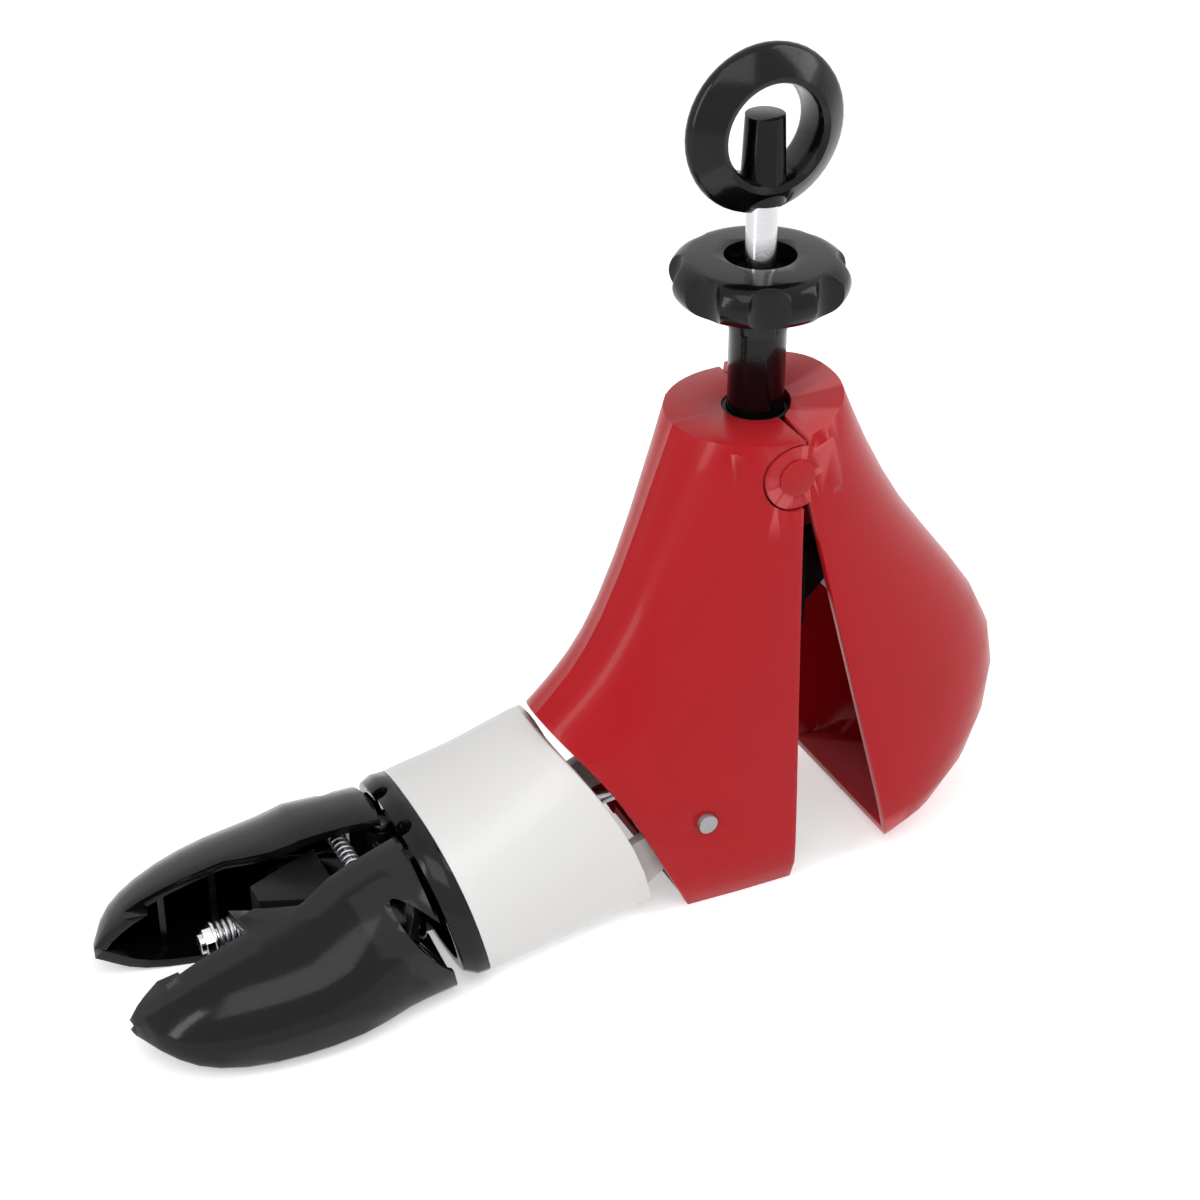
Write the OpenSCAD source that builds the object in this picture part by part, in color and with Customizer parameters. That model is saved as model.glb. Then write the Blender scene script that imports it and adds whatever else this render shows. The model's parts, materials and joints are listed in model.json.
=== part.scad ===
// Two-way shoe stretcher: a red ankle block whose heel half swings back on two pins,
// a white midfoot, and two black toe halves that swing apart.
// The origin is where the spindle axis meets the plane of the sole. +X points to the toe.

/* [Ankle block] */
// Height of the ankle block
body_h = 147; // [140:1:160]
// Spindle axis to the front edge of the top face
top_front = 26; // [24:1:30]
// Spindle axis to the back edge of the top face
top_back = 27; // [25:1:30]
// Half of the width at the top face
top_half_w = 25; // [24:1:28]
// Half of the width at the sole
sole_half_w = 30; // [28:1:33]
// Wall of the ankle shells
wall = 3; // [2.4:0.2:3.6]
// Reach of the instep ridge, where the midfoot comes out
instep_x = 69; // [64:1:74]
// Height of the instep ridge there
instep_z = 63; // [60:1:68]
// Reach of the front block's flat sole
sole_front = 32; // [28:1:36]
// Reach of the back of the heel, with the heel shut
heel_back = 60; // [56:1:66]
// How far the heel stands open at rest, in degrees
heel_open = 14; // [10:1:15]

/* [Ankle hinge] */
// Height of the hinge under the top face
hinge_drop = 11; // [10:0.5:13]
// Radius of the round ears
ear_r = 9.6; // [8:0.2:10.4]
// Radius of the ankle pins
ankle_pin_r = 5.4; // [4:0.2:6]

/* [Spindle] */
// Radius of the sleeve
sleeve_r = 8; // [7.4:0.1:8.6]
// Radius of the steel rod
rod_r = 4.3; // [3.8:0.1:4.8]
// Height of the middle of the star knob
knob_z = 186; // [180:1:195]
// Radius of the star knob
knob_r = 25.3; // [22:0.5:28]
// Thickness of the star knob
knob_h = 13; // [11:0.5:15]
// Height of the middle of the ring
ring_z = 228.5; // [224:1:240]
// Outer radius of the ring
ring_r = 23.5; // [21:0.5:26]
// Radius of the ring's hole
ring_hole_r = 13.6; // [12:0.2:14.6]
// Thickness of the ring round its hole
ring_t = 14; // [12:0.5:16]

/* [Midfoot] */
// Height of the pin that carries the midfoot
mid_pin_z = 30; // [28:0.5:33]
// Reach of that pin
mid_pin_x = 27.5; // [26:0.5:29]
// Radius of the midfoot pin
mid_pin_r = 3; // [2.4:0.2:3.6]
// Reach of the midfoot's front edge at the floor
mid_front = 98; // [94:1:102]
// Half of the midfoot's width at its front edge
mid_half_w = 36; // [34:1:38]
// Wall of the midfoot and toe shells
shell = 2.4; // [2:0.2:3]

/* [Toe] */
// Reach of the closed toe
toe_tip = 199; // [192:1:206]
// Half of the width of the closed toe
toe_half_w = 38.5; // [36:0.5:43]
// Height of the toe halves at their back
toe_h = 41; // [38:1:44]
// How far each half stands open at rest, in degrees
toe_open = 11; // [4:0.5:12]
// Radius of the toe hinge pins
toe_pin_r = 2.5; // [2:0.1:3]

/* [Hidden] */
$fn = 48;
fit = 0.3;          // clearance between pieces that move on each other
slide_fit = 0.15;   // radial clearance of a thread or a rod in its guide
edge_x = -2;        // back edge of the front block, and front edge of the shut heel
hinge_z = body_h - hinge_drop;
roller_r = 6;
ramp_gap = 0.8;     // running gap between each ramp and its roller

// Smooth curve through a table of [place, value] pairs
function slope(t, i) = let (a = t[max(i - 1, 0)], b = t[min(i + 1, len(t) - 1)]) (b[1] - a[1]) / (b[0] - a[0]);
function span(t, v, i = 0) = i >= len(t) - 2 || v <= t[i + 1][0] ? i : span(t, v, i + 1);
function curve(t, v) =
  let (i = span(t, v), a = t[i], b = t[i + 1], h = b[0] - a[0], u = (v - a[0]) / h)
  (2 * u ^ 3 - 3 * u ^ 2 + 1) * a[1] + (u ^ 3 - 2 * u ^ 2 + u) * h * slope(t, i)
  + (3 * u ^ 2 - 2 * u ^ 3) * b[1] + (u ^ 3 - u ^ 2) * h * slope(t, i + 1);

// A thick sheet between two grids of points, each [row][column], joined by a rim. A ring closes on itself.
// Seen from outside the first grid, its columns run to the right as its rows go up.
module sheet(first, second, ring = false) {
  rows = len(first);
  cols = len(first[0]);
  all = concat([for (r = first, p = r) p], [for (r = second, p = r) p]);
  half = rows * cols;
  last = ring ? cols - 1 : cols - 2;
  function id(i, j, s) = s * half + i * cols + j % cols;
  polyhedron(all, concat(
    [for (i = [0:rows - 2], j = [0:last]) each [
      [id(i, j, 0), id(i + 1, j, 0), id(i + 1, j + 1, 0)], [id(i, j, 0), id(i + 1, j + 1, 0), id(i, j + 1, 0)],
      [id(i, j, 1), id(i + 1, j + 1, 1), id(i + 1, j, 1)], [id(i, j, 1), id(i, j + 1, 1), id(i + 1, j + 1, 1)]]],
    ring ? [] : [for (i = [0:rows - 2]) each [
      [id(i, 0, 0), id(i + 1, 0, 1), id(i + 1, 0, 0)], [id(i, 0, 0), id(i, 0, 1), id(i + 1, 0, 1)],
      [id(i, cols - 1, 0), id(i + 1, cols - 1, 0), id(i + 1, cols - 1, 1)],
      [id(i, cols - 1, 0), id(i + 1, cols - 1, 1), id(i, cols - 1, 1)]]],
    [for (j = [0:last]) each [
      [id(0, j, 0), id(0, j + 1, 0), id(0, j + 1, 1)], [id(0, j, 0), id(0, j + 1, 1), id(0, j, 1)],
      [id(rows - 1, j, 0), id(rows - 1, j + 1, 1), id(rows - 1, j + 1, 0)],
      [id(rows - 1, j, 0), id(rows - 1, j, 1), id(rows - 1, j + 1, 1)]]]), convexity = 6);
}

// Half width of the ankle block at a height
side_round = 2.5;
function half_w(z) = curve([[0, sole_half_w - side_round], [3, sole_half_w - 0.6], [14, sole_half_w],
  [instep_z, sole_half_w - 2], [(instep_z + hinge_z) / 2, (sole_half_w + top_half_w) / 2 - 1],
  [hinge_z, top_half_w + 0.3], [body_h, top_half_w]], z);

// Reach of the front ridge at a height. Below the instep the surface runs on under the midfoot.
function ridge_x(z) = z >= instep_z
  ? let (u = (z - instep_z) / (body_h - instep_z))
    top_front + (instep_x - top_front) * curve([[0, 1], [0.107, 0.78], [0.25, 0.58], [0.464, 0.38], [0.75, 0.17], [1, 0]], u)
  : instep_x + 1.25 * (instep_z - z) - 0.006 * (instep_z - z) ^ 2;

// Reach of the front block's slanting lower edge at a height
function cut_x(z) = sole_front + (instep_x - sole_front) * curve([[0, 0], [0.2, 0.17], [0.54, 0.457], [0.79, 0.716], [1, 1]],
  min(z / instep_z, 1));

front_rows = concat([for (k = [0:8]) instep_z * k / 9],
  [instep_z, instep_z + 5, instep_z + 11, instep_z + 18, instep_z + 27, instep_z + 40, instep_z + 54, hinge_z, body_h]);
around = 12;
// Points round one side of the front block, s = 0 outside and 1 inside
function front_row(z, s) =
  let (w = half_w(z) - s * wall, n = ridge_x(z) - s * wall * 1.2)
  concat([[edge_x, w, z]], [for (j = [0:around]) let (a = 90 * j / around)
    [n * sin(a), j == around ? -0.2 : w * cos(a), z]]);
// What the slanting lower edge leaves open for the midfoot
module instep_cut() rotate([90, 0, 0]) linear_extrude(100, center = true)
  polygon(concat([for (k = [0:15]) let (z = instep_z * k / 15) [cut_x(z), z]], [[160, instep_z], [160, -1], [cut_x(0), -1]]));

module front_side() sheet([for (z = front_rows) front_row(z, 1)], [for (z = front_rows) front_row(z, 0)]);

cheek_t = 4;
cheek_y = top_half_w - ear_r / 2 - cheek_t + 0.6;   // inner face of the front block's cheeks
ear_in = cheek_y + cheek_t + fit;                   // inner face of the ears

module front_block() color("firebrick") difference() {
  union() {
    difference() {
      union() {
        front_side();
        mirror([0, 1, 0]) front_side();
      }
      instep_cut();
    }
    translate([edge_x, -sole_half_w + side_round + wall / 2, 0]) cube([sole_front - edge_x - 0.5, 2 * (sole_half_w - side_round - wall / 2), wall]);
    translate([0, 0, body_h - 5]) linear_extrude(5) difference() {
      scale([1, (top_half_w - wall / 2) / (top_front - wall / 2)]) circle(top_front - wall / 2);
      translate([-60 + edge_x, -40]) square([60, 80]);
    }
    for (s = [-1, 1]) translate([0, s * (cheek_y + cheek_t / 2), hinge_z]) {
      rotate([90, 0, 0]) cylinder(r = ear_r, h = cheek_t, center = true);
      translate([ear_r / 2 + 4, 0, 1]) cube([ear_r + 8, cheek_t, 2 * ear_r - 4], center = true);
    }
    for (s = [-1, 1]) translate([mid_pin_x, s * (half_w(mid_pin_z) - wall - 1), mid_pin_z]) rotate([90, 0, 0])
      cylinder(r = mid_pin_r + 3, h = 3, center = true);
  }
  translate([0, 0, body_h - 20]) cylinder(r = sleeve_r + 1.6, h = 40);
  for (s = [-1, 1]) {
    translate([0, s * (ear_in + 20 - fit / 2), hinge_z]) rotate([90, 0, 0]) cylinder(r = ear_r + 0.6, h = 40, center = true);
    translate([-20, s * (ear_in + 20 - fit / 2), hinge_z + 8]) cube([40 - 6, 40, 30], center = true);
    translate([mid_pin_x, s * sole_half_w, mid_pin_z]) rotate([90, 0, 0]) cylinder(r = mid_pin_r + 0.05, h = 16, center = true);
  }
  translate([0, 0, hinge_z]) rotate([90, 0, 0]) cylinder(r = ankle_pin_r + 0.05, h = 100, center = true);
}

// Turns a piece of the heel from shut to its place at rest
module opened() translate([0, 0, hinge_z]) rotate([0, heel_open, 0]) translate([0, 0, -hinge_z]) children();

heel_rows = [0, 3, 9, 18, 30, 42, 56, 70, 84, 98, 112, hinge_z - 11, hinge_z, body_h];
function back_x(z) = curve([[0, heel_back * 0.32], [3, heel_back * 0.58], [9, heel_back * 0.77], [18, heel_back * 0.9],
  [36, heel_back], [57, heel_back * 0.94], [77, heel_back * 0.8], [100, heel_back * 0.64],
  [hinge_z - 11, (heel_back * 0.52)], [body_h, top_back]], z);
function heel_row(z, s) =
  let (w = half_w(z) - s * wall, n = back_x(z) - s * wall * 1.1)
  concat([[edge_x, w, z]], [for (j = [0:2 * around - 2]) let (a = 180 * (j + 0.6) / (2 * around - 0.8))
    [min(edge_x - 0.5, edge_x - (n + edge_x) * abs(sin(a)) ^ 0.9), w * sign(cos(a)) * abs(cos(a)) ^ 0.9, z]],
    [[edge_x, -w, z]]);

module heel_block() color("firebrick") {
  heel_shell();
  heel_boss();
}
heel_spread = 5;     // how far the heel still opens past rest, in degrees
module heel_top_cut() rotate([90, 0, 0]) linear_extrude(100, center = true)
  polygon([for (h = [0, body_h + 1 - hinge_z]) [(edge_x - 0.3 - h * sin(heel_open + heel_spread)) / cos(heel_open + heel_spread), hinge_z + h],
    [30, body_h + 1], [30, hinge_z]]);
module heel_shell() opened() difference() {
  union() {
    difference() {
      heel_skin();
      heel_top_cut();
    }
    heel_ears();
  }
  translate([0, 0, body_h - 20]) cylinder(r = sleeve_r + 4.5, h = 40);
  for (s = [-1, 1])
    translate([0, s * (cheek_y + cheek_t / 2 - 8), hinge_z]) rotate([90, 0, 0]) cylinder(r = ear_r + 0.8, h = cheek_t + fit * 2 + 16, center = true);
  translate([0, 0, hinge_z]) rotate([90, 0, 0]) cylinder(r = ankle_pin_r + 0.05, h = 100, center = true);
}
module heel_skin() {
  sheet([for (z = heel_rows) heel_row(z, 0)], [for (z = heel_rows) heel_row(z, 1)]);
  linear_extrude(wall) polygon([for (p = heel_row(0, 0.5)) [p[0], p[1]]]);
  translate([0, 0, body_h - 5]) linear_extrude(5) difference() {
    scale([1, (top_half_w - wall / 2) / (top_back - wall / 2)]) circle(top_back - wall / 2);
    translate([edge_x - 0.6, -40]) square([80, 80]);
  }
}
module heel_ears() for (s = [-1, 1]) {
  intersection() {
    translate([0, s * (ear_in + 1.9), hinge_z]) rotate([90, 0, 0]) cylinder(r = ear_r, h = 3.8, center = true);
    translate([-20, -40, 0]) cube([60, 80, body_h]);
  }
  translate([edge_x - 5, s * (ear_in + 1.9), hinge_z - 1]) cube([12, 3.8, 15], center = true);
}

module ankle_pins() color("firebrick") for (s = [-1, 1])
  translate([0, s * (cheek_y + (top_half_w + 0.6 - cheek_y) / 2), hinge_z]) rotate([90, 0, 0])
    cylinder(r = ankle_pin_r, h = top_half_w + 0.6 - cheek_y, center = true);

// Flanged bush in the front block's top plate
bush_h = 12;
module top_bush() color("dimgray") difference() {
  union() {
    translate([0, 0, body_h - bush_h]) cylinder(r = sleeve_r + 1.55, h = bush_h - 0.4);
    translate([0, 0, body_h - bush_h]) cylinder(r = sleeve_r + 3.4, h = bush_h - 5.4);
  }
  translate([0, 0, body_h - bush_h - 1]) cylinder(r = sleeve_r + slide_fit, h = bush_h + 2);
}

// Two moulded rails from cheek to cheek keep the nuts from turning
rail_y = 12.6;
rail_low = 15;
module guide_rails() color("dimgray") {
  for (s = [-1, 1]) translate([2, s * rail_y + (s > 0 ? 0 : -2.4), rail_low]) cube([6, 2.4, body_h - 5 - rail_low]);
  translate([8, -rail_y - 2.4, rail_low]) cube([2.4, 2 * rail_y + 4.8, 4]);
  for (s = [-1, 1]) translate([2, s * (rail_y + 2.4) + (s > 0 ? 0 : -(half_w(70) - wall - rail_y - 2.4) + 0.35), 66])
    cube([6, half_w(70) - wall - rail_y - 2.4 - 0.35, 3]);
}

// Star knob: a rounded disc with eight scallops and a dished top
scallops = 8;
module star_knob() color([0.09, 0.09, 0.09]) difference() {
  translate([0, 0, knob_z]) rotate_extrude($fn = 64) difference() {
    hull() {
      translate([knob_r - knob_h / 2, 0]) circle(knob_h / 2 - 0.3, $fn = 32);
      translate([10, -knob_h / 2 + 1]) square([4, knob_h - 1]);
    }
    translate([0, knob_h / 2 - 4.4]) square([9.4, 12]);
    translate([-1, -30]) square([sleeve_r + 0.05 + 1, 60]);
  }
  for (i = [0:scallops - 1]) rotate(i * 360 / scallops + 22.5)
    translate([knob_r + 2, 0, knob_z - knob_h]) cylinder(r = 6.6, h = 2 * knob_h);
}

sleeve_low = 78;
thread_top = 112;
// Sleeve: flared under the knob, with a thread at its lower end
module spindle_sleeve() color([0.1, 0.1, 0.1]) difference() {
  union() {
    translate([0, 0, sleeve_low]) cylinder(r = sleeve_r, h = knob_z + knob_h / 2 - 5 - sleeve_low);
    translate([0, 0, knob_z - knob_h / 2 - 9]) cylinder(r1 = sleeve_r, r2 = sleeve_r + 3, h = 9);
  }
  translate([0, 0, sleeve_low - 1]) cylinder(r = rod_r + slide_fit, h = 200);
  for (z = [sleeve_low + 3:4:thread_top]) translate([0, 0, z]) rotate_extrude()
    polygon([[sleeve_r + 1, -1.2], [sleeve_r - 0.7, -0.4], [sleeve_r - 0.7, 0.4], [sleeve_r + 1, 1.2]]);
}

ring_stub_r = 6.4;
ring_rim = 2.6;      // radius of the ring's rounded rim
// Half section of the ring: blunt round its hole, tapering to a round rim
function ring_section() = concat(
  [[ring_hole_r, ring_t / 2 - 2.4], [ring_hole_r + 0.7, ring_t / 2 - 0.7], [ring_hole_r + 2.4, ring_t / 2]],
  [for (a = [60:-30:-60]) [ring_r - ring_rim + ring_rim * cos(a), ring_rim * sin(a)]],
  [[ring_hole_r + 2.4, -ring_t / 2], [ring_hole_r + 0.7, 0.7 - ring_t / 2], [ring_hole_r, 2.4 - ring_t / 2]]);
// Ring handle: thick round its hole and thin at its rim, with a hub on the rod
module ring_handle() color([0.09, 0.09, 0.09]) difference() {
  union() {
    translate([0, 0, ring_z]) rotate([90, 0, 0]) rotate_extrude() polygon(ring_section());
    translate([0, 0, ring_z - ring_r + 3.5]) cylinder(r1 = ring_stub_r, r2 = ring_stub_r - 1, h = ring_r + 0.5);
  }
  translate([0, 0, ring_z - ring_r - 10]) cylinder(r = rod_r + 0.02, h = 10 + ring_r - 2);
}

rod_low = 18;
module spindle_rod() color("silver") difference() {
  translate([0, 0, rod_low]) cylinder(r = rod_r, h = ring_z - 3 - rod_low);
  for (z = [rod_low + 2:3:56]) translate([0, 0, z]) rotate_extrude()
    polygon([[rod_r + 1, -1], [rod_r - 0.5, -0.3], [rod_r - 0.5, 0.3], [rod_r + 1, 1]]);
}

// Spreader nut on the sleeve's thread, with a ramp at 45 degrees for the heel roller
nut_z = 77;
nut_h = 26;
nut_w = rail_y - fit;
nut_back = -30;
ramp_h = 20;
module spreader_nut() color([0.12, 0.12, 0.12]) difference() {
  union() {
    translate([-12, -nut_w, nut_z]) cube([22, 2 * nut_w, nut_h]);
    translate([nut_back, -7, nut_z]) cube([20 - nut_back, 14, ramp_h + 2]);
  }
  translate([nut_back, 0, nut_z]) rotate([90, 0, 0]) linear_extrude(60, center = true)
    polygon([[-1, -1], [-1, ramp_h], [0, ramp_h], [ramp_h, 0], [ramp_h, -1]]);
  translate([0, 0, nut_z - 30]) cylinder(r = sleeve_r + slide_fit, h = 80);
}

// The heel roller touches the ramp's face at rest, less the running gap
roller_x = nut_back + 6 - (roller_r + ramp_gap) * sqrt(0.5);
roller_z = nut_z + ramp_h - 6 - (roller_r + ramp_gap) * sqrt(0.5);
module heel_roller() color("white") translate([roller_x, 0, roller_z]) rotate([90, 0, 0]) difference() {
  cylinder(r = roller_r, h = 12, center = true);
  cylinder(r = 2 + slide_fit, h = 20, center = true);
}
module heel_roller_pin() color("silver") translate([roller_x, 0, roller_z]) rotate([90, 0, 0])
  cylinder(r = 2, h = 22, center = true);

// Bracket from a boss on the heel's back wall to the roller pin
bracket_y = 7;
bracket_x = -49;
module heel_bracket() color("silver") {
  for (s = [-1, 1]) translate([0, s * (bracket_y + 1.2), 0]) rotate([90, 0, 0]) linear_extrude(2.4, center = true) difference() {
    hull() {
      translate([roller_x, roller_z]) circle(4.4, $fn = 32);
      translate([bracket_x, roller_z - 14]) square([3, 16]);
    }
    translate([roller_x, roller_z]) circle(2.02);
  }
  translate([bracket_x, -bracket_y, roller_z - 14]) cube([2.4, 2 * bracket_y, 16]);
}
module heel_boss() intersection() {
  translate([bracket_x - 30, -bracket_y - 2.4, roller_z - 14]) cube([30, 2 * bracket_y + 4.8, 16]);
  opened() hull() for (z = [50, 57, 77, 100]) translate([0, 0, z]) linear_extrude(0.1)
    polygon([for (p = heel_row(z, 0.5)) [p[0], p[1]]]);
}

// Crosshead on the rod's thread, with a ramp that pushes the push rod forward
cross_z = 27;
cross_h = 19;
cross_front = 22;
cross_ramp = 15;
module rod_crosshead() color("silver") difference() {
  translate([-8, -rail_y + fit, cross_z]) cube([cross_front + 8, 2 * (rail_y - fit), cross_h]);
  translate([0, 0, cross_z - 1]) cylinder(r = rod_r + slide_fit, h = 60);
  translate([cross_front, 0, cross_z]) rotate([90, 0, 0]) linear_extrude(60, center = true)
    polygon([[1, -1], [1, cross_ramp], [0, cross_ramp], [-cross_ramp, 0], [-cross_ramp, -1]]);
}

// The push rod slopes down towards the toe
rod_slope = 5.6;
tail_x = cross_front - 7 + (roller_r - 1 + ramp_gap) * sqrt(0.5);
tail_z = cross_z + cross_ramp - 7 - (roller_r - 1 + ramp_gap) * sqrt(0.5);
module along_rod() translate([tail_x, 0, tail_z]) rotate([0, rod_slope, 0]) children();

push_r = 3;
push_len = 154.8;
module push_rod() color("silver") along_rod() difference() {
  union() {
    translate([9, 0, 0]) rotate([0, 90, 0]) cylinder(r = push_r, h = push_len - 9);
    translate([7.5, 0, 0]) cube([4, 12, 9], center = true);
    for (s = [-1, 1]) translate([0, s * 4.9, 0]) rotate([90, 0, 0]) linear_extrude(2.2, center = true) hull() {
      circle(4);
      translate([5, -4]) square([4.5, 8]);
    }
  }
  rotate([90, 0, 0]) cylinder(r = 1.8, h = 30, center = true);
  for (x = [push_len - 24:2.4:push_len - 1]) translate([x, 0, 0]) rotate([0, 90, 0]) rotate_extrude()
    polygon([[push_r + 1, -0.9], [push_r - 0.4, -0.25], [push_r - 0.4, 0.25], [push_r + 1, 0.9]]);
}
module push_rod_roller() color("white") along_rod() rotate([90, 0, 0]) {
  cylinder(r = roller_r - 1, h = 7, center = true);
  cylinder(r = 1.75, h = 12.5, center = true);
}

// Midfoot
front_lean = 0.22;   // the front edge leans forward this much per unit of height
function mid_top(x) = curve([[40, 64], [66, 59.8], [75, 56.3], [84, 52.4], [93, 49.2], [110, 44.5]], x);
function mid_w(x) = curve([[40, sole_half_w - 1.6], [60, sole_half_w + 0.4], [80, (sole_half_w + mid_half_w) / 2 + 0.4], [mid_front, mid_half_w], [112, mid_half_w + 0.4]], x);
// A closed section, sole flat and top domed, at a = 0 to 360 round from the side
function lobe(a, w, top, low, e) = let (c = cos(a), s = sin(a), mid = low + 0.3 * (top - low))
  [w * sign(c) * abs(c) ^ e, s >= 0 ? mid + (top - mid) * s ^ 0.92 : mid - (mid - low) * abs(s) ^ 0.45];
mid_rows = 12;
mid_cols = 32;
mid_sole = 0.2;
// t = 0 at the slanting back edge and 1 at the leaning front edge
function mid_point(a, t, s) =
  let (x0 = mid_front, p0 = lobe(a, mid_w(x0) - s * shell, mid_top(x0) - s * shell, mid_sole + s * shell, 0.8),
       back = sole_front + 12 + (instep_x + 0.6 - sole_front - 12) * max(0, min(1, p0[1] / 48)) ^ 1.6,
       front = mid_front + front_lean * p0[1],
       x = back + (front - back) * t,
       p = lobe(a, mid_w(x) - s * shell, mid_top(x) - s * shell, mid_sole + s * shell, 0.8))
  [x, p[0], p[1]];
module tube(rows, s0, s1, t0, t1) sheet(
  [for (i = [0:rows]) [for (j = [0:mid_cols - 1]) mid_point(360 * j / mid_cols, t0 + (t1 - t0) * i / rows, s0)]],
  [for (i = [0:rows]) [for (j = [0:mid_cols - 1]) mid_point(360 * j / mid_cols, t0 + (t1 - t0) * i / rows, s1)]], ring = true);

module midfoot_shell() color("white") tube(mid_rows, 0, 1, 0, 1);

// Tongue: two cheeks that reach back to the pins, on a cross web inside the shell
tongue_t = 3;
function tongue_y() = half_w(mid_pin_z) - wall - 2.5 - 0.8;
module midfoot_tongue() color("gainsboro") difference() {
  union() {
    for (s = [-1, 1]) translate([0, s * (tongue_y() - tongue_t / 2), 0]) rotate([90, 0, 0])
      linear_extrude(tongue_t, center = true) union() {
        translate([mid_pin_x, mid_pin_z]) circle(7.5);
        polygon([[mid_pin_x - 4, mid_pin_z - 6.4], [46, 8], [75, 8], [75, 24], [52, 24], [44, 27], [mid_pin_x + 5, mid_pin_z + 5.6]]);
      }
    hull() for (x = [72, 74.9]) translate([x, 0, 0]) rotate([90, 0, 90]) linear_extrude(0.1)
      polygon([for (j = [0:mid_cols - 1]) lobe(360 * j / mid_cols, mid_w(x) - shell - 0.15, mid_top(x) - shell - 0.15, mid_sole + shell + 0.15, 0.8)]);
    for (s = [-1, 1]) translate([74, s * screw_y, screw_z]) rotate([0, 90, 0]) cylinder(r = 4.2, h = mid_front + 3 - 74);
  }
  for (s = [-1, 1]) translate([80, s * screw_y, screw_z]) rotate([0, 90, 0]) cylinder(r = 1.55, h = 60);
  for (s = [-1, 1]) translate([mid_pin_x, s * sole_half_w, mid_pin_z]) rotate([90, 0, 0])
    cylinder(r = mid_pin_r + slide_fit, h = 30, center = true);
  along_rod() translate([40, 0, 0]) rotate([0, 90, 0]) cylinder(r = 6, h = 60);
}

screw_y = 20;
screw_z = 18;
module midfoot_pins() color("silver") for (s = [-1, 1])
  translate([mid_pin_x, s * (half_w(mid_pin_z) + 0.4 - 6), mid_pin_z]) rotate([90, 0, 0])
    cylinder(r = mid_pin_r, h = 12, center = true);

// Guide bush of the push rod, pressed into the tongue's web
module rod_bush() color("dimgray") along_rod() translate([72 - tail_x - 4, 0, 0]) rotate([0, 90, 0]) difference() {
  union() {
    cylinder(r = 5.95, h = 14);
    cylinder(r = 8, h = 3.4);
  }
  translate([0, 0, -1]) cylinder(r = push_r + slide_fit, h = 20);
}

// Toe yoke: a black collar on the midfoot's front edge, with a block that carries the toe hinges
yoke_len = 7;
hinge_x = 114;
hinge_y = 9;
hinge_top = 33;
hinge_low = 4;
function yoke_point(a, t, s) = let (p = mid_point(a, 1, s)) [p[0] + 0.3 + t * yoke_len, p[1], p[2]];
module toe_yoke() color([0.1, 0.1, 0.1]) difference() {
  union() {
    sheet([for (i = [0:2]) [for (j = [0:mid_cols - 1]) yoke_point(360 * j / mid_cols, i / 2, i == 2 ? 0.7 : 0)]],
      [for (i = [0:2]) [for (j = [0:mid_cols - 1]) yoke_point(360 * j / mid_cols, i / 2, i == 2 ? 2 : 1.6)]], ring = true);
    translate([mid_front + 3, 0, 0]) rotate([90, 0, 90]) linear_extrude(3) intersection() {
      polygon([for (j = [0:mid_cols - 1]) lobe(360 * j / mid_cols, mid_w(mid_front) - 1.8 * shell, mid_top(mid_front) - 1.8 * shell, mid_sole + 1.8 * shell, 0.8)]);
      translate([-40, 5]) square([80, 25]);
    }
    for (z = [hinge_low, hinge_top - 5]) translate([mid_front + 3, -hinge_y, z]) {
      cube([hinge_x - mid_front - 3, 2 * hinge_y, 5]);
      for (y = [0, 2 * hinge_y]) translate([hinge_x - mid_front - 3, y, 0]) cylinder(r = 5.4, h = 5);
    }
  }
  for (s = [-1, 1]) translate([hinge_x, s * hinge_y, 0]) cylinder(r = toe_pin_r + 0.02, h = 60);
  along_rod() translate([60, 0, 0]) rotate([0, 90, 0]) cylinder(r = push_r + 1, h = 60);
  for (s = [-1, 1]) translate([90, s * screw_y, screw_z]) rotate([0, 90, 0]) cylinder(r = 1.55, h = 30);
}
module toe_hinge_pins() color("silver") for (s = [-1, 1])
  translate([hinge_x, s * hinge_y, hinge_low - 1]) cylinder(r = toe_pin_r, h = hinge_top - hinge_low + 2);

// Screws that hold the yoke to lugs of the tongue
module yoke_screws() color("silver") for (s = [-1, 1]) translate([mid_front + 6.05, s * screw_y, screw_z]) rotate([0, 90, 0]) {
  cylinder(r = 3, h = 1.8);
  translate([0, 0, -20]) cylinder(r = 1.5, h = 20.5);
}

// Toe halves
toe_back = mid_front + yoke_len + 1.7;
split = 0.4;         // half of the gap between the shut halves
toe_sole = 0;
function toe_w(x) = curve([[toe_back, mid_half_w + 1.4], [toe_back + 18, toe_half_w - 1.5], [toe_back + 34, toe_half_w],
  [toe_tip - 42, toe_half_w - 1.6], [toe_tip - 26, toe_half_w * 0.84], [toe_tip - 12, toe_half_w * 0.64], [toe_tip - 4, toe_half_w * 0.42], [toe_tip, toe_half_w * 0.12]], x);
function toe_top(x) = curve([[toe_back, toe_h], [toe_back + 31, toe_h - 3.6], [toe_tip - 50, toe_h - 8.5],
  [toe_tip - 30, toe_h - 13], [toe_tip - 14, toe_h - 18.5], [toe_tip - 4, toe_h - 25], [toe_tip, toe_h - 30]], x);
function toe_low(x) = max(toe_sole, curve([[toe_back, toe_sole], [toe_tip - 30, toe_sole], [toe_tip - 12, toe_sole + 1.6], [toe_tip, toe_sole + 7.6]], x));
toe_stations = [0, 0.07, 0.14, 0.22, 0.32, 0.42, 0.52, 0.61, 0.7, 0.78, 0.85, 0.9, 0.94, 0.97, 0.99, 1];
toe_cols = 18;
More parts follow.
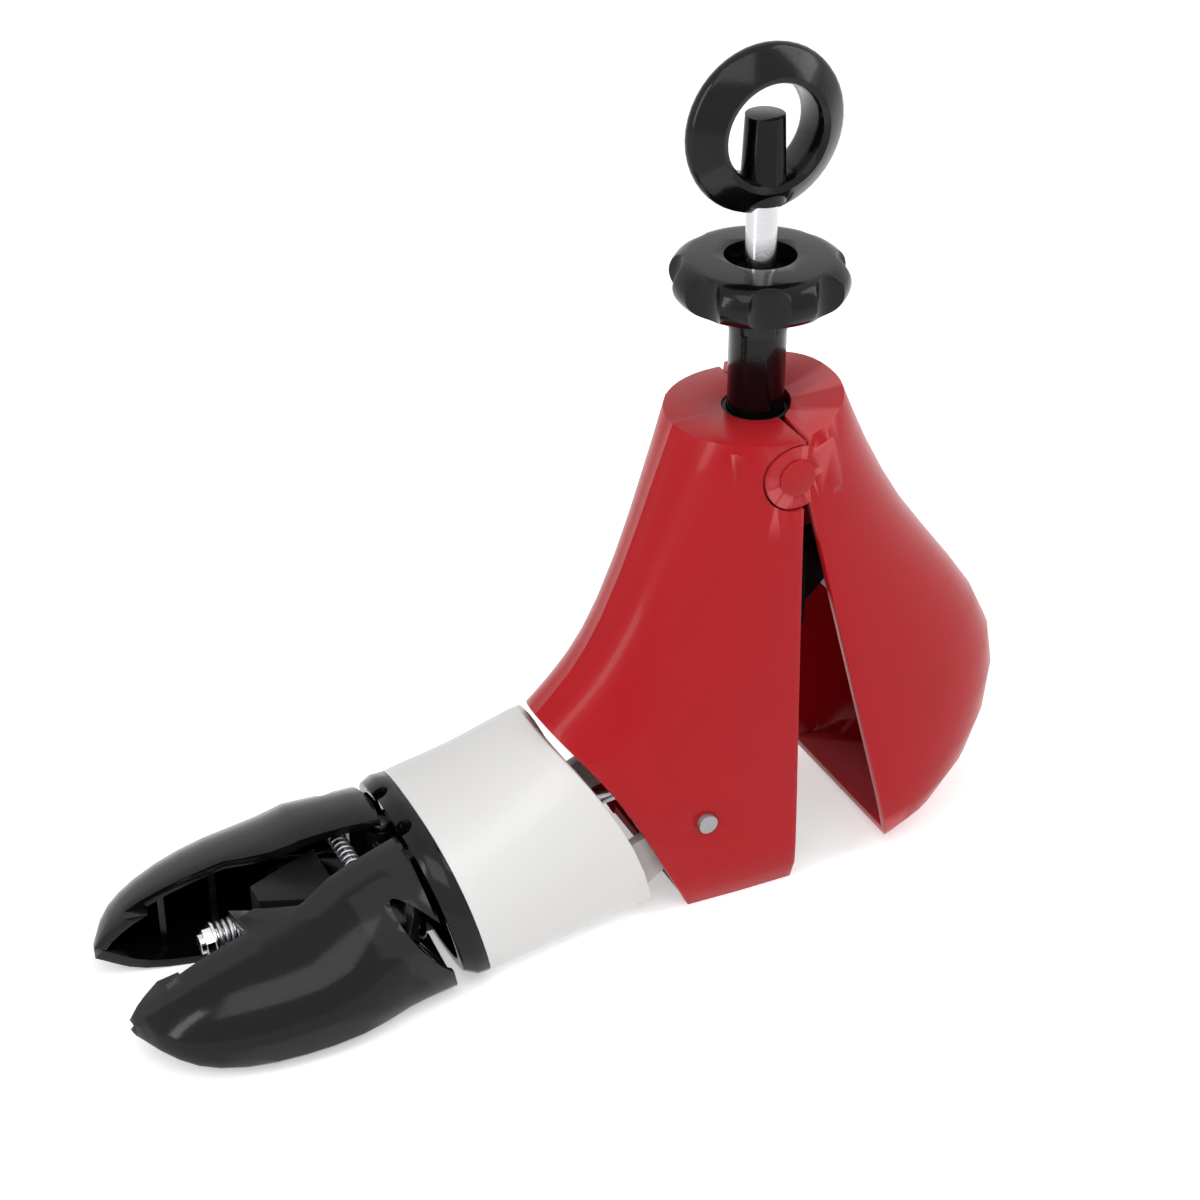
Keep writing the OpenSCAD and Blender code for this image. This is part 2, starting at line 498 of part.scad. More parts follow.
// The back edge slants forward to the side, so that it clears the yoke when the halves are spread
back_slant = tan(toe_open + 4.2);
function toe_row(f, s) =
  let (x = toe_back + (toe_tip - toe_back) * f, xi = toe_back + (toe_tip - s * shell - toe_back) * f,
       lean = front_lean * (1 - f) ^ 3,
       low = toe_low(x) + s * shell, top = max(low + 0.4, toe_top(x + lean * toe_h) - s * shell), w = max(toe_w(x) - s * shell, 0.8 - 0.3 * s))
  [for (j = [0:toe_cols]) let (p = lobe(-90 + 180 * j / toe_cols, w, top, low, 0.72)) [xi + lean * p[1] + back_slant * (1 - f) ^ 3 * max(0, p[0] - hinge_y), max(split, p[0]), p[1]]];
module toe_skin() sheet([for (f = toe_stations) toe_row(f, 0)], [for (f = toe_stations) toe_row(f, 1)]);

// The halves' top edges are cut back from the middle. The left one has a pointed tooth that reaches over the middle.
tooth_x = 164;
tooth_y = 4.3;       // reach of the tooth past the middle
module top_cut(points) translate([0, 0, 20]) linear_extrude(60) polygon(points);
module left_cut() {
  top_cut([[hinge_x - 10, -1], [hinge_x - 10, 6.5], [hinge_x + 3, 7.1], [tooth_x - 15, 9], [tooth_x - 3.9, -1]]);
  top_cut([[tooth_x + 0.2, -1], [tooth_x + 0.2, 6.8], [toe_tip - 6, 3.2], [toe_tip + 2, -1]]);
}
module right_cut() top_cut([[hinge_x - 10, -1], [hinge_x - 10, 1.5], [hinge_x + 26, 1.5], [tooth_x - 4, 6.8],
  [toe_tip - 6, 3.2], [toe_tip + 2, -1]]);
module tooth() intersection() {
  translate([0, 2 * split + 0.2, 0]) mirror([0, 1, 0]) toe_skin();
  top_cut([[tooth_x - 6, 2], [tooth_x - 0.2, -tooth_y], [tooth_x + 0.2, 2]]);
}
// Leaf-shaped opening at the shoulder, over the yoke's arm
module leaf() translate([toe_back + 13.8, toe_half_w - 5.5, 22]) rotate([0, 35, 0]) scale([0.3, 1, 1])
  rotate([90, 0, 0]) cylinder(r = 15, h = 24, center = true);

// Room at the middle behind the hinge pins, where the halves swing towards each other
module middle_cut() translate([0, 0, -1]) linear_extrude(60)
  polygon([[hinge_x - 14, -5], [hinge_x - 14, 3.2], [hinge_x + 1, 0.4], [hinge_x + 1, -5]]);

boss_r = 5;
// Two eyes and a web hang each half on its hinge pin, between the yoke's arms
module hinge_eyes() {
  z0 = hinge_low + 5 + fit;
  z1 = hinge_top - 5 - fit;
  r = toe_row((hinge_x + 3 - toe_back) / (toe_tip - toe_back), 0.6);
  difference() {
    union() {
      translate([hinge_x, hinge_y, z0]) cylinder(r = boss_r, h = z1 - z0);
      translate([hinge_x + 3.7, 0, 0]) rotate([90, 0, 90]) linear_extrude(4) intersection() {
        polygon([for (p = r) [p[1], p[2]]]);
        translate([hinge_y, z0]) square([60, z1 - z0]);
      }
    }
    translate([hinge_x, hinge_y, 0]) cylinder(r = toe_pin_r + slide_fit, h = 60);
  }
}
// Ribs across the hollow, as inside a moulded shell
rib_x = [163, 178];
module ribs() for (x = rib_x) let (r = toe_row((x - toe_back) / (toe_tip - toe_back), 0.6))
  translate([x, 0, 0]) rotate([90, 0, 90]) linear_extrude(1.8) difference() {
    polygon([for (p = r) [p[1], p[2]]]);
    square([6, 60]);
  }

module spread(s) translate([hinge_x, s * hinge_y, 0]) rotate([0, 0, s * toe_open]) translate([-hinge_x, -s * hinge_y, 0]) children();

module toe_half() {
  hinge_eyes();
  ribs();
  post_and_arm();
  spring_hook();
}
module toe_left() color([0.1, 0.1, 0.1]) spread(1) difference() {
  union() {
    difference() {
      toe_skin();
      left_cut();
    }
    tooth();
    toe_half();
  }
  leaf();
  middle_cut();
}
module toe_right() color([0.1, 0.1, 0.1]) spread(-1) mirror([0, 1, 0]) difference() {
  union() {
    difference() {
      toe_skin();
      right_cut();
    }
    toe_half();
  }
  leaf();
  middle_cut();
}

// Wedge on the push rod, and the round posts in the halves that it spreads
wedge_x = 134;
wedge_len = 22;
wedge_back = 12.5;
wedge_front = 3.6;
wedge_h = 16.4;
wedge_z = tail_z - (wedge_x + wedge_len / 2 - tail_x) * tan(rod_slope);
module wedge() color([0.13, 0.13, 0.13]) difference() {
  translate([0, 0, wedge_z - 7]) linear_extrude(wedge_h)
    polygon([[wedge_x, -wedge_back], [wedge_x, wedge_back], [wedge_x + wedge_len, wedge_front], [wedge_x + wedge_len, -wedge_front]]);
  along_rod() translate([60, 0, 0]) rotate([0, 90, 0]) cylinder(r = push_r + 0.02, h = 80);
}
post_r = 3;
post_x = 145;
flank = atan((wedge_back - wedge_front) / wedge_len);
post_y = wedge_back - (post_x - wedge_x) * tan(flank) + (post_r + 0.35) / cos(flank);
arm_z = wedge_z - 6;
// Shut place of the post
shut_x = hinge_x + (post_x - hinge_x) * cos(toe_open) + (post_y - hinge_y) * sin(toe_open);
shut_y = hinge_y - (post_x - hinge_x) * sin(toe_open) + (post_y - hinge_y) * cos(toe_open);
// Slice of the half's inside, out to the middle of its wall
module slice(x, t) let (r = toe_row((x - toe_back) / (toe_tip - toe_back), 0.6))
  translate([x, 0, 0]) rotate([90, 0, 90]) linear_extrude(t) intersection() {
    polygon([for (p = r) [p[1], p[2]]]);
    children();
  }
module post_and_arm() {
  translate([shut_x, shut_y, arm_z]) cylinder(r = post_r, h = 12);
  slice(shut_x - 1, 2) translate([shut_y, arm_z]) square([60, 4]);
}
// The tie spring's hook hangs from the underside of the top skin
module spring_hook() {
  intersection() {
    translate([tie_x, hook_y, tie_z - 3]) cylinder(r = 1.6, h = 40);
    hull() {
      slice(tie_x - 3, 0.1) square([60, 60]);
      slice(tie_x + 3, 0.1) square([60, 60]);
    }
  }
  translate([tie_x, hook_y, tie_z - 3]) cylinder(r = 2.6, h = 1.2);
}

// Coil spring on the push rod's nose
nose_turns = 6;
nose_pitch = 1.7;
nose_wire = 0.6;
nose_nut_h = 3.4;
nose_len = nose_turns * nose_pitch + nose_wire + 0.1 + nose_nut_h;
// The spring and its nut sit 1.4 behind the rod's end
nose_from = tail_x + (push_len - 1.4 - nose_len) * cos(rod_slope);
nose_coil_r = push_r + nose_wire + 0.5;
function coil_ring(c, t, n, r, sides) = [for (k = [0:sides - 1]) let (a = 360 * k / sides) c + r * (cos(a) * n + sin(a) * cross(t, n))];
// One unbroken wire: turns round the X axis, eight rings to a turn
module coil(turns, pitch, r, wire) {
  per = 8;
  sides = 6;
  count = turns * per;
  rings = [for (i = [0:count]) let (a = 360 * i / per, n = [0, cos(a), sin(a)],
      t0 = [pitch / (2 * PI * r), -sin(a), cos(a)], t = t0 / norm(t0))
    coil_ring([pitch * i / per, r * cos(a), r * sin(a)], t, n, wire, sides)];
  pts = [for (r = rings, p = r) p];
  polyhedron(pts, concat(
    [[for (k = [0:sides - 1]) k]], [[for (k = [sides - 1:-1:0]) count * sides + k]],
    [for (i = [0:count - 1], k = [0:sides - 1]) let (a = i * sides + k, b = i * sides + (k + 1) % sides)
      each [[a, a + sides, b], [b, a + sides, b + sides]]]), convexity = 10);
}
// Least gap of a coil to itself, between points half a turn or more apart
function coil_place(i, pitch, r) = [pitch * i / 8, r * cos(45 * i), r * sin(45 * i)];
function least_gap(turns, pitch, r, wire) = min([for (i = [0:turns * 8 - 4], j = [i + 4:turns * 8])
  norm(coil_place(i, pitch, r) - coil_place(j, pitch, r)) - 2 * wire]);
echo(nose_spring_gap = least_gap(nose_turns, nose_pitch, nose_coil_r, nose_wire));

module nose_spring() color("silver") along_rod()
  translate([(nose_from - tail_x) / cos(rod_slope), 0, 0]) coil(nose_turns, nose_pitch, nose_coil_r, nose_wire);
module nose_nut() color("silver") along_rod()
  translate([(nose_from - tail_x) / cos(rod_slope) + nose_turns * nose_pitch + nose_wire + 0.1, 0, 0]) rotate([0, 90, 0]) difference() {
    union() {
      cylinder(r = 5.4, h = 0.8);
      translate([0, 0, 0.8]) cylinder(r = 4.6, h = 2.6, $fn = 6);
    }
    translate([0, 0, -1]) cylinder(r = push_r + 0.02, h = 8);
  }

// Tie spring across the halves, on a hook in each
tie_x = 127;
tie_z = 30;
hook_y = 14;
tie_turns = 12;
tie_wire = 0.5;
tie_half = hinge_y + (tie_x - hinge_x) * sin(toe_open) + (hook_y - hinge_y) * cos(toe_open) - 1.6 - tie_wire - 0.7;
echo(tie_spring_gap = least_gap(tie_turns, 2 * tie_half / tie_turns, 2.2, tie_wire));
module tie_spring() color("silver") translate([tie_x, -tie_half, tie_z]) rotate([0, 0, 90])
  coil(tie_turns, 2 * tie_half / tie_turns, 2.2, tie_wire);

front_block();
heel_block();
ankle_pins();
top_bush();
guide_rails();
star_knob();
spindle_sleeve();
ring_handle();
spindle_rod();
spreader_nut();
heel_bracket();
heel_roller();
heel_roller_pin();
rod_crosshead();
midfoot_pins();
midfoot_shell();
midfoot_tongue();
toe_yoke();
yoke_screws();
rod_bush();
toe_hinge_pins();
push_rod();
push_rod_roller();
wedge();
nose_spring();
nose_nut();
toe_left();
toe_right();
tie_spring();
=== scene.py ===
"""Two-way shoe stretcher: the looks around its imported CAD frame."""
import json
import math

import bmesh
import bpy
from mathutils import Matrix, Vector


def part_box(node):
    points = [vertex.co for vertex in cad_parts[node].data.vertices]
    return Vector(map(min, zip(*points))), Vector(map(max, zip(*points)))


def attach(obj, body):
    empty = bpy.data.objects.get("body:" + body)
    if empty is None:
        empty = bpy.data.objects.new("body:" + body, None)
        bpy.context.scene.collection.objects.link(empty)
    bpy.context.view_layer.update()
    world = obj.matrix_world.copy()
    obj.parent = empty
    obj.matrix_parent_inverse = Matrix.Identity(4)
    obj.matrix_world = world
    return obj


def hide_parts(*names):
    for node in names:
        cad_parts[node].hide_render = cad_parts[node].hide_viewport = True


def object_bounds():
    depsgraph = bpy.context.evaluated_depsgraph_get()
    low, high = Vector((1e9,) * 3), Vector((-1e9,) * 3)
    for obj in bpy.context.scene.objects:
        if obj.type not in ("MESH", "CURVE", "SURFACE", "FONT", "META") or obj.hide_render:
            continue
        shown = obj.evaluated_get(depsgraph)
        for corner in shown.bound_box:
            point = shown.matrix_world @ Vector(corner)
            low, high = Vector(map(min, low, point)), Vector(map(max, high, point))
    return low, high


MM = 0.001
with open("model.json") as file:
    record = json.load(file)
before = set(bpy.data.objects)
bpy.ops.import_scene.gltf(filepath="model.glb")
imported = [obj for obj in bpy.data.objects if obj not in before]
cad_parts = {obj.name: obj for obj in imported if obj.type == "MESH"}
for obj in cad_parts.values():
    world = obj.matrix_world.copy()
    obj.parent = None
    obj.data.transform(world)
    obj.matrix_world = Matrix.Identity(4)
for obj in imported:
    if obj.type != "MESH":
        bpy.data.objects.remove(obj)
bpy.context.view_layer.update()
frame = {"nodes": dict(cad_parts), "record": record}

# Camera: the photograph's place and lens
CAMERA_AZIMUTH = math.radians(154.119)
CAMERA_ELEVATION = math.radians(31.861)
CAMERA_PLACE = Vector((0.32027, 0.56099, 0.48329))
LENS_MM = 78
SENSOR_MM = 36

# Sizes that the finished pieces share, in metres
SLEEVE_R = 8 * MM
ROD_SLOPE = math.radians(5.6)
SPRING_WIRE_R = 0.6 * MM
NOSE_TURNS = 6.0
NOSE_PITCH = 1.7 * MM
TIE_WIRE_R = 0.5 * MM
TIE_TURNS = 12.0

# Faces that meet at less than FLAT_ANGLE are one face, and at more than SMOOTH_ANGLE make an edge
FLAT_ANGLE = math.radians(0.5)
SMOOTH_ANGLE = math.radians(32)

# Light levels: the floor's own glow, the world's light on the object, and the point that the lamps face
FLOOR_GLOW = 0.45
WORLD_LEVEL = 0.42
LAMP_TARGET = Vector((0.05, 0, 0.1))
FLOOR_REACH = 6.0


def aim_camera():
    """Puts the camera at the photograph's place, square to its direction of view."""
    back = Vector((
        math.sin(CAMERA_AZIMUTH) * math.cos(CAMERA_ELEVATION),
        -math.cos(CAMERA_AZIMUTH) * math.cos(CAMERA_ELEVATION),
        math.sin(CAMERA_ELEVATION),
    ))
    right = Vector((math.cos(CAMERA_AZIMUTH), math.sin(CAMERA_AZIMUTH), 0))
    up = back.cross(right)
    data = bpy.data.cameras.new("camera")
    data.lens = LENS_MM
    data.sensor_width = SENSOR_MM
    camera = bpy.data.objects.new("camera", data)
    turn = Matrix((right, up, back)).transposed().to_4x4()
    camera.matrix_world = Matrix.Translation(CAMERA_PLACE) @ turn
    bpy.context.scene.collection.objects.link(camera)
    bpy.context.scene.camera = camera


class Shade:
    """A socket of a material's node tree, with arithmetic that adds Math nodes."""

    def __init__(self, tree, socket):
        self.tree = tree
        self.socket = socket

    def math(self, operation, *values):
        """Adds one Math node and gives its result."""
        return node(self.tree, "ShaderNodeMath", {"operation": operation}, dict(enumerate(values)))

    def __add__(self, other):
        return self.math("ADD", self, other)

    __radd__ = __add__

    def __mul__(self, other):
        return self.math("MULTIPLY", self, other)

    def __rsub__(self, other):
        return self.math("SUBTRACT", other, self)

    def above(self, level, width):
        """Rises smoothly from 0 to 1 across a level."""
        return node(self.tree, "ShaderNodeMapRange", {"interpolation_type": "SMOOTHSTEP"},
                    {0: self, 1: level - width, 2: level + width})


def node(tree, kind, settings, inputs, output=0):
    """Adds a node: its settings first, then the values or links of its sockets."""
    made = tree.nodes.new(kind)
    for name, value in settings.items():
        setattr(made, name, value)
    for key, value in inputs.items():
        if isinstance(value, Shade):
            tree.links.new(value.socket, made.inputs[key])
        else:
            made.inputs[key].default_value = value
    return Shade(tree, made.outputs[output])


def place_of(tree):
    """Object coordinates, in metres."""
    return node(tree, "ShaderNodeTexCoord", {}, {}, "Object")


def noise(tree, scale, detail=3.0, rough=0.5):
    """Fractal noise from 0 to 1 at a scale in cells per metre."""
    return node(tree, "ShaderNodeTexNoise", {},
                {"Vector": place_of(tree), "Scale": scale, "Detail": detail, "Roughness": rough}, "Fac")


def worn_edge(tree):
    """About 1 on a sharp outside edge and 0 on a flat or hollow face."""
    point = node(tree, "ShaderNodeNewGeometry", {}, {}, "Pointiness")
    return point.above(0.56, 0.04)


def blend(tree, mask, first, second):
    """Mixes two colours by a mask."""
    mixed = tree.nodes.new("ShaderNodeMix")
    mixed.data_type = "RGBA"
    tree.links.new(mask.socket, mixed.inputs["Factor"])
    for name, value in (("A", first), ("B", second)):
        socket = [s for s in mixed.inputs if s.name == name and s.type == "RGBA"][0]
        if isinstance(value, Shade):
            tree.links.new(value.socket, socket)
        else:
            socket.default_value = (*value, 1)
    return Shade(tree, [s for s in mixed.outputs if s.type == "RGBA"][0])


def finish_material(name, colour, fixed):
    """A material with a plain Principled shader. Gives the material, its tree and its shader."""
    material = bpy.data.materials.new(name)
    material.use_nodes = True
    tree = material.node_tree
    shader = tree.nodes["Principled BSDF"]
    shader.inputs["Base Color"].default_value = (*colour, 1)
    for key, value in fixed.items():
        shader.inputs[key].default_value = value
    return material, tree, shader


def feed(shader, key, value):
    """Links a value that changes over the surface to the shader."""
    value.tree.links.new(value.socket, shader.inputs[key])


def bump(tree, shader, height, distance):
    """Raises the surface by a height in metres."""
    feed(shader, "Normal", node(tree, "ShaderNodeBump", {},
                                {"Strength": 1.0, "Distance": distance, "Height": height}))


def moulded(name, colour, edge_colour, roughness, coat, grain=0.00003, mottle=0.06, shine=0.5):
    """Moulded plastic: faint flow mottle, fine orange peel, a paler rubbed edge and small scuffs."""
    material, tree, shader = finish_material(name, colour, {
        "Coat Roughness": 0.08, "Specular IOR Level": shine})
    flow = noise(tree, 38, 2)
    dark = tuple(c * (1 - mottle) for c in colour)
    pale = tuple(min(1, c * (1 + mottle)) for c in colour)
    tone = blend(tree, flow, dark, pale)
    feed(shader, "Base Color", blend(tree, worn_edge(tree) * 0.55, tone, edge_colour))
    scuffs = noise(tree, 420, 5, 0.7).above(0.66, 0.05)
    feed(shader, "Roughness", roughness + flow * 0.06 + scuffs * 0.08)
    feed(shader, "Coat Weight", coat - scuffs * 0.2)
    bump(tree, shader, noise(tree, 700, 2), grain)
    return material


def polished(name, colour, roughness):
    """Plated or turned steel with fine lines round it and faint smears."""
    material, tree, shader = finish_material(name, colour, {"Metallic": 1.0})
    smear = noise(tree, 120, 4)
    lines = node(tree, "ShaderNodeTexWave", {"wave_type": "BANDS", "bands_direction": "Z"},
                 {"Vector": place_of(tree), "Scale": 900.0, "Distortion": 1.5, "Detail": 2.0}, "Fac")
    dark = tuple(c * 0.86 for c in colour)
    feed(shader, "Base Color", blend(tree, smear, dark, colour))
    feed(shader, "Roughness", roughness + smear * 0.1 + lines * 0.04)
    bump(tree, shader, lines, 0.000012)
    return material


def brushed_pin(name, colour):
    """Plain pin steel with a mottled, slightly dull face."""
    material, tree, shader = finish_material(name, colour, {"Metallic": 0.9})
    mottled = noise(tree, 600, 4, 0.6)
    dark = tuple(c * 0.7 for c in colour)
    feed(shader, "Base Color", blend(tree, mottled, dark, colour))
    feed(shader, "Roughness", 0.34 + mottled * 0.2)
    bump(tree, shader, mottled, 0.00004)
    return material


MATERIALS = {
    "red_shell": moulded(
        "crimson_shell", (0.47, 0.004, 0.010), (0.80, 0.16, 0.17), 0.26, 0.12, shine=0.16),
    "white_shell": moulded(
        "satin_white_shell", (0.86, 0.86, 0.85), (0.92, 0.92, 0.92), 0.36, 0.15, mottle=0.02),
    "grey_tongue": moulded(
        "tongue_plastic", (0.62, 0.62, 0.615), (0.74, 0.74, 0.73), 0.42, 0.05, mottle=0.03),
    "black_gloss": moulded(
        "black_gloss_plastic", (0.0025, 0.0025, 0.003), (0.03, 0.03, 0.032), 0.14, 0.1, shine=0.2),
    "black_inner": moulded(
        "black_plain_plastic", (0.006, 0.006, 0.0065), (0.03, 0.03, 0.03), 0.42, 0.03, shine=0.16),
    "white_roller": moulded(
        "roller_plastic", (0.74, 0.74, 0.72), (0.8, 0.8, 0.8), 0.4, 0.05, mottle=0.03),
    "polished_rod": polished("plated_steel", (0.74, 0.75, 0.77), 0.10),
    "steel": polished("turned_steel", (0.52, 0.53, 0.55), 0.28),
    "pin_grey": brushed_pin("pin_steel", (0.40, 0.41, 0.42)),
}

SLOTS = {row["node"]: row["material_slot"] for row in frame["record"]["subparts"]}
BODY_OF = {n: b for b, names in frame["record"]["behaviour"]["bodies"].items() for n in names}


def new_object(name, mesh):
    """Links a mesh as a new object at the origin."""
    piece = bpy.data.objects.new(name, mesh)
    bpy.context.scene.collection.objects.link(piece)
    return piece


def dress(piece, slot, body):
    """Gives a piece its finish and the body that it moves with."""
    piece.data.materials.clear()
    piece.data.materials.append(MATERIALS[slot])
    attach(piece, body)


def merged_copy(name):
    """A copy of a CAD node's mesh as one closed surface."""
    mesh = frame["nodes"][name].data.copy()
    build = bmesh.new()
    build.from_mesh(mesh)
    bmesh.ops.remove_doubles(build, verts=build.verts, dist=0.00002)
    bmesh.ops.dissolve_degenerate(build, edges=build.edges, dist=0.00002)
    build.to_mesh(mesh)
    build.free()
    return mesh


def shade_by_angle(mesh):
    """Smooth faces, with the edges sharper than SMOOTH_ANGLE left sharp."""
    mesh.shade_smooth()
    mesh.set_sharp_from_angle(angle=SMOOTH_ANGLE)


def apply_modifiers(piece):
    """Puts the mesh that a piece's modifiers make in place of its own."""
    shape = piece.evaluated_get(bpy.context.evaluated_depsgraph_get())
    plain = bpy.data.meshes.new_from_object(shape)
    piece.modifiers.clear()
    piece.data = plain


def softened(name, width):
    """A node's finished piece: the same solid with smooth faces and rounded edges."""
    mesh = merged_copy(name)
    if name not in CURVED_SHELLS:
        build = bmesh.new()
        build.from_mesh(mesh)
        bmesh.ops.dissolve_limit(build, angle_limit=FLAT_ANGLE, verts=build.verts, edges=build.edges)
        build.to_mesh(mesh)
        build.free()
    piece = new_object(name + "_finished", mesh)
    bevel = piece.modifiers.new("rounded_edges", "BEVEL")
    bevel.width = width
    bevel.segments = 2
    bevel.limit_method = "ANGLE"
    bevel.angle_limit = SMOOTH_ANGLE
    apply_modifiers(piece)
    shade_by_angle(piece.data)
    dress(piece, SLOTS[name], BODY_OF[name])
    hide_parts(name)


# Nodes that keep their triangles, because their faces are curved
CURVED_SHELLS = ("front_block", "heel_block", "toe_left", "toe_right", "midfoot_shell", "toe_yoke")
# Width of the rounded edges of each node that gets a finished piece, in millimetres
EDGE_WIDTHS = {
    "front_block": 0.5, "heel_block": 0.5, "toe_left": 0.4, "toe_right": 0.4, "toe_yoke": 0.4,
    "midfoot_shell": 0.4, "midfoot_tongue": 0.5, "ring_handle": 0.5, "star_knob": 1.0,
    "spindle_sleeve": 0.3, "ankle_pins": 0.4, "midfoot_pins": 0.3, "yoke_screws": 0.25,
    "spreader_nut": 0.5, "rod_crosshead": 0.5, "wedge": 0.5, "heel_bracket": 0.25,
    "heel_roller": 0.3, "heel_roller_pin": 0.3, "toe_hinge_pins": 0.4, "top_bush": 0.3,
    "rod_bush": 0.3, "guide_rails": 0.3, "spindle_rod": 0.25, "push_rod": 0.2, "nose_nut": 0.2,
}


def modelled(name, tree, place):
    """The plain mesh that a tree of Geometry Nodes makes, in its place."""
    piece = new_object(name, bpy.data.meshes.new(name))
    maker = piece.modifiers.new("maker", "NODES")
    maker.node_group = tree
    apply_modifiers(piece)
    piece.data.transform(place)
    piece.data.shade_smooth()
    return piece


def coil_tree(name, turns, radius, length, wire_radius, slot):
    """Geometry Nodes for a wound spring: a spiral along Z with a round wire."""
    tree = bpy.data.node_groups.new(name, "GeometryNodeTree")
    tree.interface.new_socket("Geometry", in_out="OUTPUT", socket_type="NodeSocketGeometry")
    sizes = {"Turns": turns, "Coil radius": radius, "Length": length, "Wire radius": wire_radius}
    for label, value in sizes.items():
        socket = tree.interface.new_socket(label, in_out="INPUT", socket_type="NodeSocketFloat")
        socket.default_value = value
    given = tree.nodes.new("NodeGroupInput")
    spiral = tree.nodes.new("GeometryNodeCurveSpiral")
    spiral.inputs["Resolution"].default_value = 28
    tree.links.new(given.outputs["Turns"], spiral.inputs["Rotations"])
    tree.links.new(given.outputs["Coil radius"], spiral.inputs["Start Radius"])
    tree.links.new(given.outputs["Coil radius"], spiral.inputs["End Radius"])
    tree.links.new(given.outputs["Length"], spiral.inputs["Height"])
    wire = tree.nodes.new("GeometryNodeCurvePrimitiveCircle")
    wire.inputs["Resolution"].default_value = 10
    tree.links.new(given.outputs["Wire radius"], wire.inputs["Radius"])
    skin = tree.nodes.new("GeometryNodeCurveToMesh")
    skin.inputs["Fill Caps"].default_value = True
    tree.links.new(spiral.outputs["Curve"], skin.inputs["Curve"])
    tree.links.new(wire.outputs["Curve"], skin.inputs["Profile Curve"])
    real = tree.nodes.new("GeometryNodeRealizeInstances")
    tree.links.new(skin.outputs["Mesh"], real.inputs["Geometry"])
    colour = tree.nodes.new("GeometryNodeSetMaterial")
    colour.inputs["Material"].default_value = MATERIALS[slot]
    tree.links.new(real.outputs["Geometry"], colour.inputs["Geometry"])
    result = tree.nodes.new("NodeGroupOutput")
    tree.links.new(colour.outputs["Geometry"], result.inputs["Geometry"])
    return tree


def wound_springs():
    """The nose spring round the push rod, and the tie spring across the toe halves."""
    low, high = (Vector(p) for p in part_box("nose_spring"))
    middle = (low + high) / 2
    length = NOSE_TURNS * NOSE_PITCH
    along = Matrix.Rotation(math.pi / 2 + ROD_SLOPE, 4, "Y")
    radius = (high.y - low.y) / 2 - SPRING_WIRE_R
    tree = coil_tree("nose_coil", NOSE_TURNS, radius, length, SPRING_WIRE_R, "steel")
    nose = modelled("nose_coil", tree,
                    Matrix.Translation(middle) @ along @ Matrix.Translation((0, 0, -length / 2)))
    dress(nose, "steel", "push_rod")
    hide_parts("nose_spring")
    low, high = (Vector(p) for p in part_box("tie_spring"))
    middle = (low + high) / 2
    length = high.y - low.y - 2 * TIE_WIRE_R
    radius = (high.x - low.x) / 2 - TIE_WIRE_R
    tree = coil_tree("tie_coil", TIE_TURNS, radius, length, TIE_WIRE_R, "steel")
    tie = modelled("tie_coil", tree,
                   Matrix.Translation(middle) @ Matrix.Rotation(-math.pi / 2, 4, "X")
                   @ Matrix.Translation((0, 0, -length / 2)))
    dress(tie, "steel", "midfoot")
    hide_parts("tie_spring")


def sleeve_key():
    """The short key on the sleeve's flare, under the knob."""
    build = bmesh.new()
    bmesh.ops.create_cube(build, size=1)
    wide, deep, tall = 9 * MM, 6 * MM, 8 * MM
    for v in build.verts:
        v.co = Vector((v.co.x * wide, v.co.y * deep, v.co.z * tall))
    bmesh.ops.bevel(build, geom=build.edges[:], offset=0.9 * MM, segments=3, affect="EDGES")
    mesh = bpy.data.meshes.new("sleeve_key")
    build.to_mesh(mesh)
    build.free()
    knob_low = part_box("star_knob")[0][2]
    turn = Matrix.Rotation(CAMERA_AZIMUTH, 4, "Z")
    mesh.transform(turn @ Matrix.Translation((0, -SLEEVE_R - 3.2 * MM, knob_low - 2.2 * MM)))
    piece = new_object("sleeve_key", mesh)
    shade_by_angle(mesh)
    dress(piece, "black_gloss", "knob")


def finish_frame():
    """Every CAD node gets its finish, and the ones with plain edges a rounded piece in their place."""
    for name, carried in frame["nodes"].items():
        if name in ("nose_spring", "tie_spring"):
            continue
        if name in EDGE_WIDTHS:
            softened(name, EDGE_WIDTHS[name] * MM)
        else:
            carried.data.materials.clear()
            carried.data.materials.append(MATERIALS[SLOTS[name]])


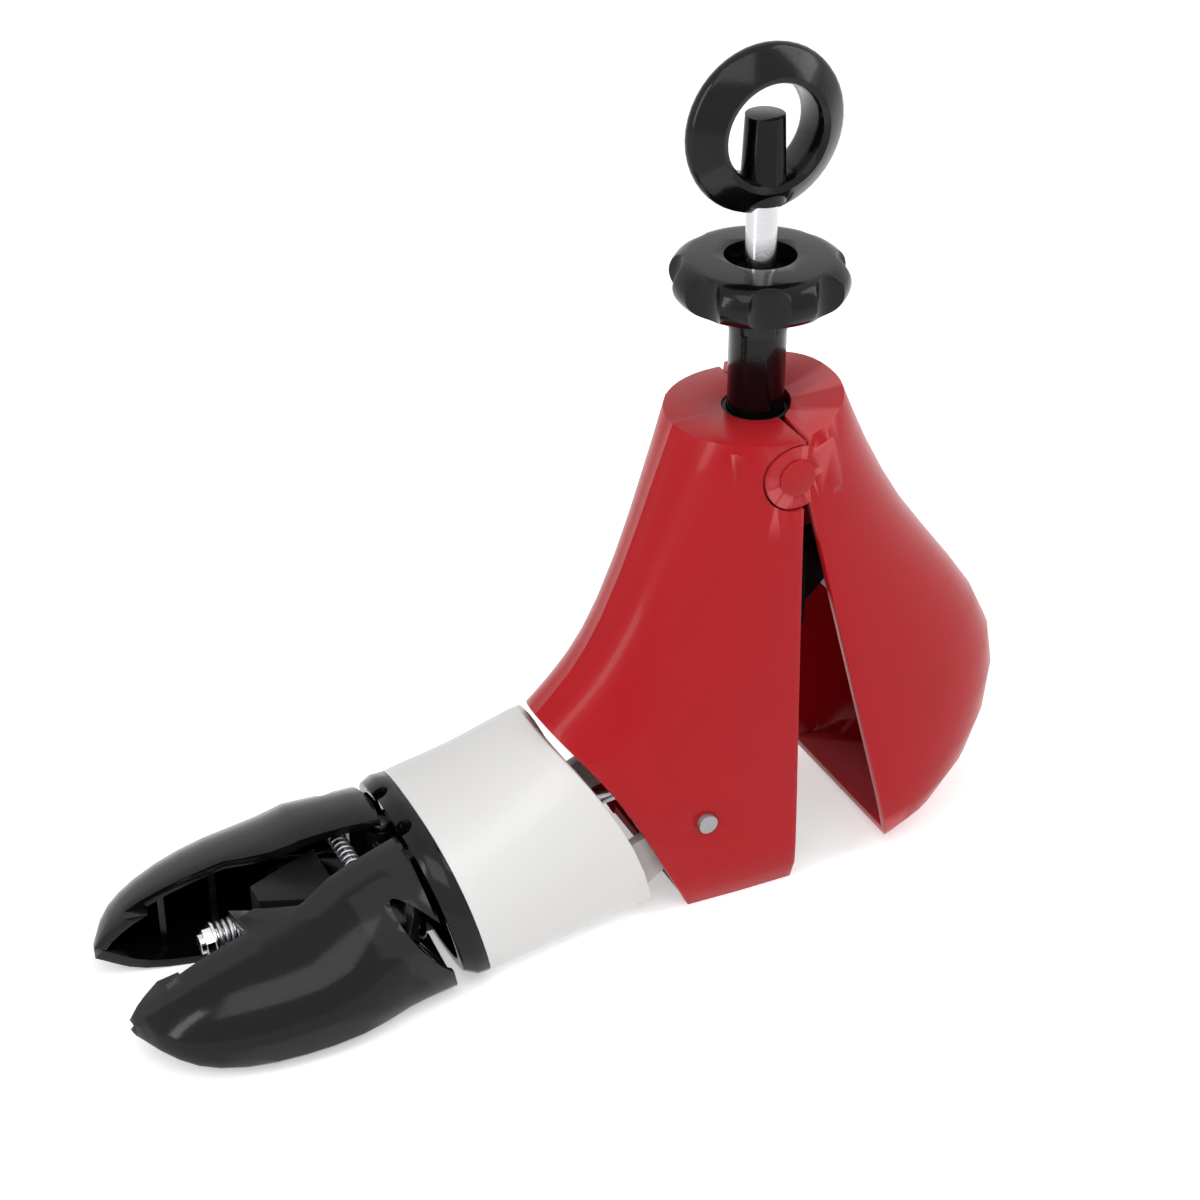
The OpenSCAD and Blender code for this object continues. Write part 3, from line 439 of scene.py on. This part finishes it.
def backdrop_rays(tree):
    """1 for the rays that see the backdrop: from the camera, in a reflection or through a clear piece."""
    kinds = ("Is Camera Ray", "Is Glossy Ray", "Is Transmission Ray")
    camera, glossy, through = (node(tree, "ShaderNodeLightPath", {}, {}, kind) for kind in kinds)
    return camera + glossy + through


def pale_stage():
    """A plain pale floor and sky, with soft lamps at a plain level."""
    floor_mesh = bpy.data.meshes.new("floor")
    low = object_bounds()[0][2]
    corners = [(x * FLOOR_REACH, y * FLOOR_REACH, low) for x, y in ((-1, -1), (1, -1), (1, 1), (-1, 1))]
    floor_mesh.from_pydata(corners, [], [(0, 1, 2, 3)])
    floor = new_object("floor", floor_mesh)
    material, tree, shader = finish_material("pale_floor", (0.96, 0.96, 0.96), {
        "Roughness": 0.7, "Specular IOR Level": 0.15, "Emission Color": (1, 1, 1, 1)})
    level = backdrop_rays(tree) * FLOOR_GLOW
    glow = node(tree, "ShaderNodeCombineColor", {}, dict.fromkeys(("Red", "Green", "Blue"), level))
    feed(shader, "Emission Color", glow)
    shader.inputs["Emission Strength"].default_value = 1.0
    floor_mesh.materials.append(material)
    world = bpy.data.worlds.new("pale_sky")
    bpy.context.scene.world = world
    world.use_nodes = True
    tree = world.node_tree
    background = tree.nodes["Background"]
    background.inputs["Color"].default_value = (1, 1, 1, 1)
    feed(background, "Strength", WORLD_LEVEL + backdrop_rays(tree) * (1 - WORLD_LEVEL))
    # Each lamp: its name, place, power in watts, width and height
    for name, place, power, wide, tall in (
        ("key", (0.35, 0.7, 1.35), 6.5, 1.2, 0.9),
        ("side", (1.3, 0.35, 0.7), 5, 0.25, 1.2),
        ("rim", (-0.9, 0.3, 0.9), 4, 0.5, 0.9),
    ):
        data = bpy.data.lights.new(name, "AREA")
        data.shape = "RECTANGLE"
        data.size = wide
        data.size_y = tall
        data.energy = power
        lamp = bpy.data.objects.new(name, data)
        lamp.location = place
        lamp.rotation_euler = (LAMP_TARGET - Vector(place)).to_track_quat("-Z", "Y").to_euler()
        bpy.context.scene.collection.objects.link(lamp)
    bpy.context.scene.view_settings.view_transform = "Standard"


aim_camera()
finish_frame()
wound_springs()
sleeve_key()
pale_stage()
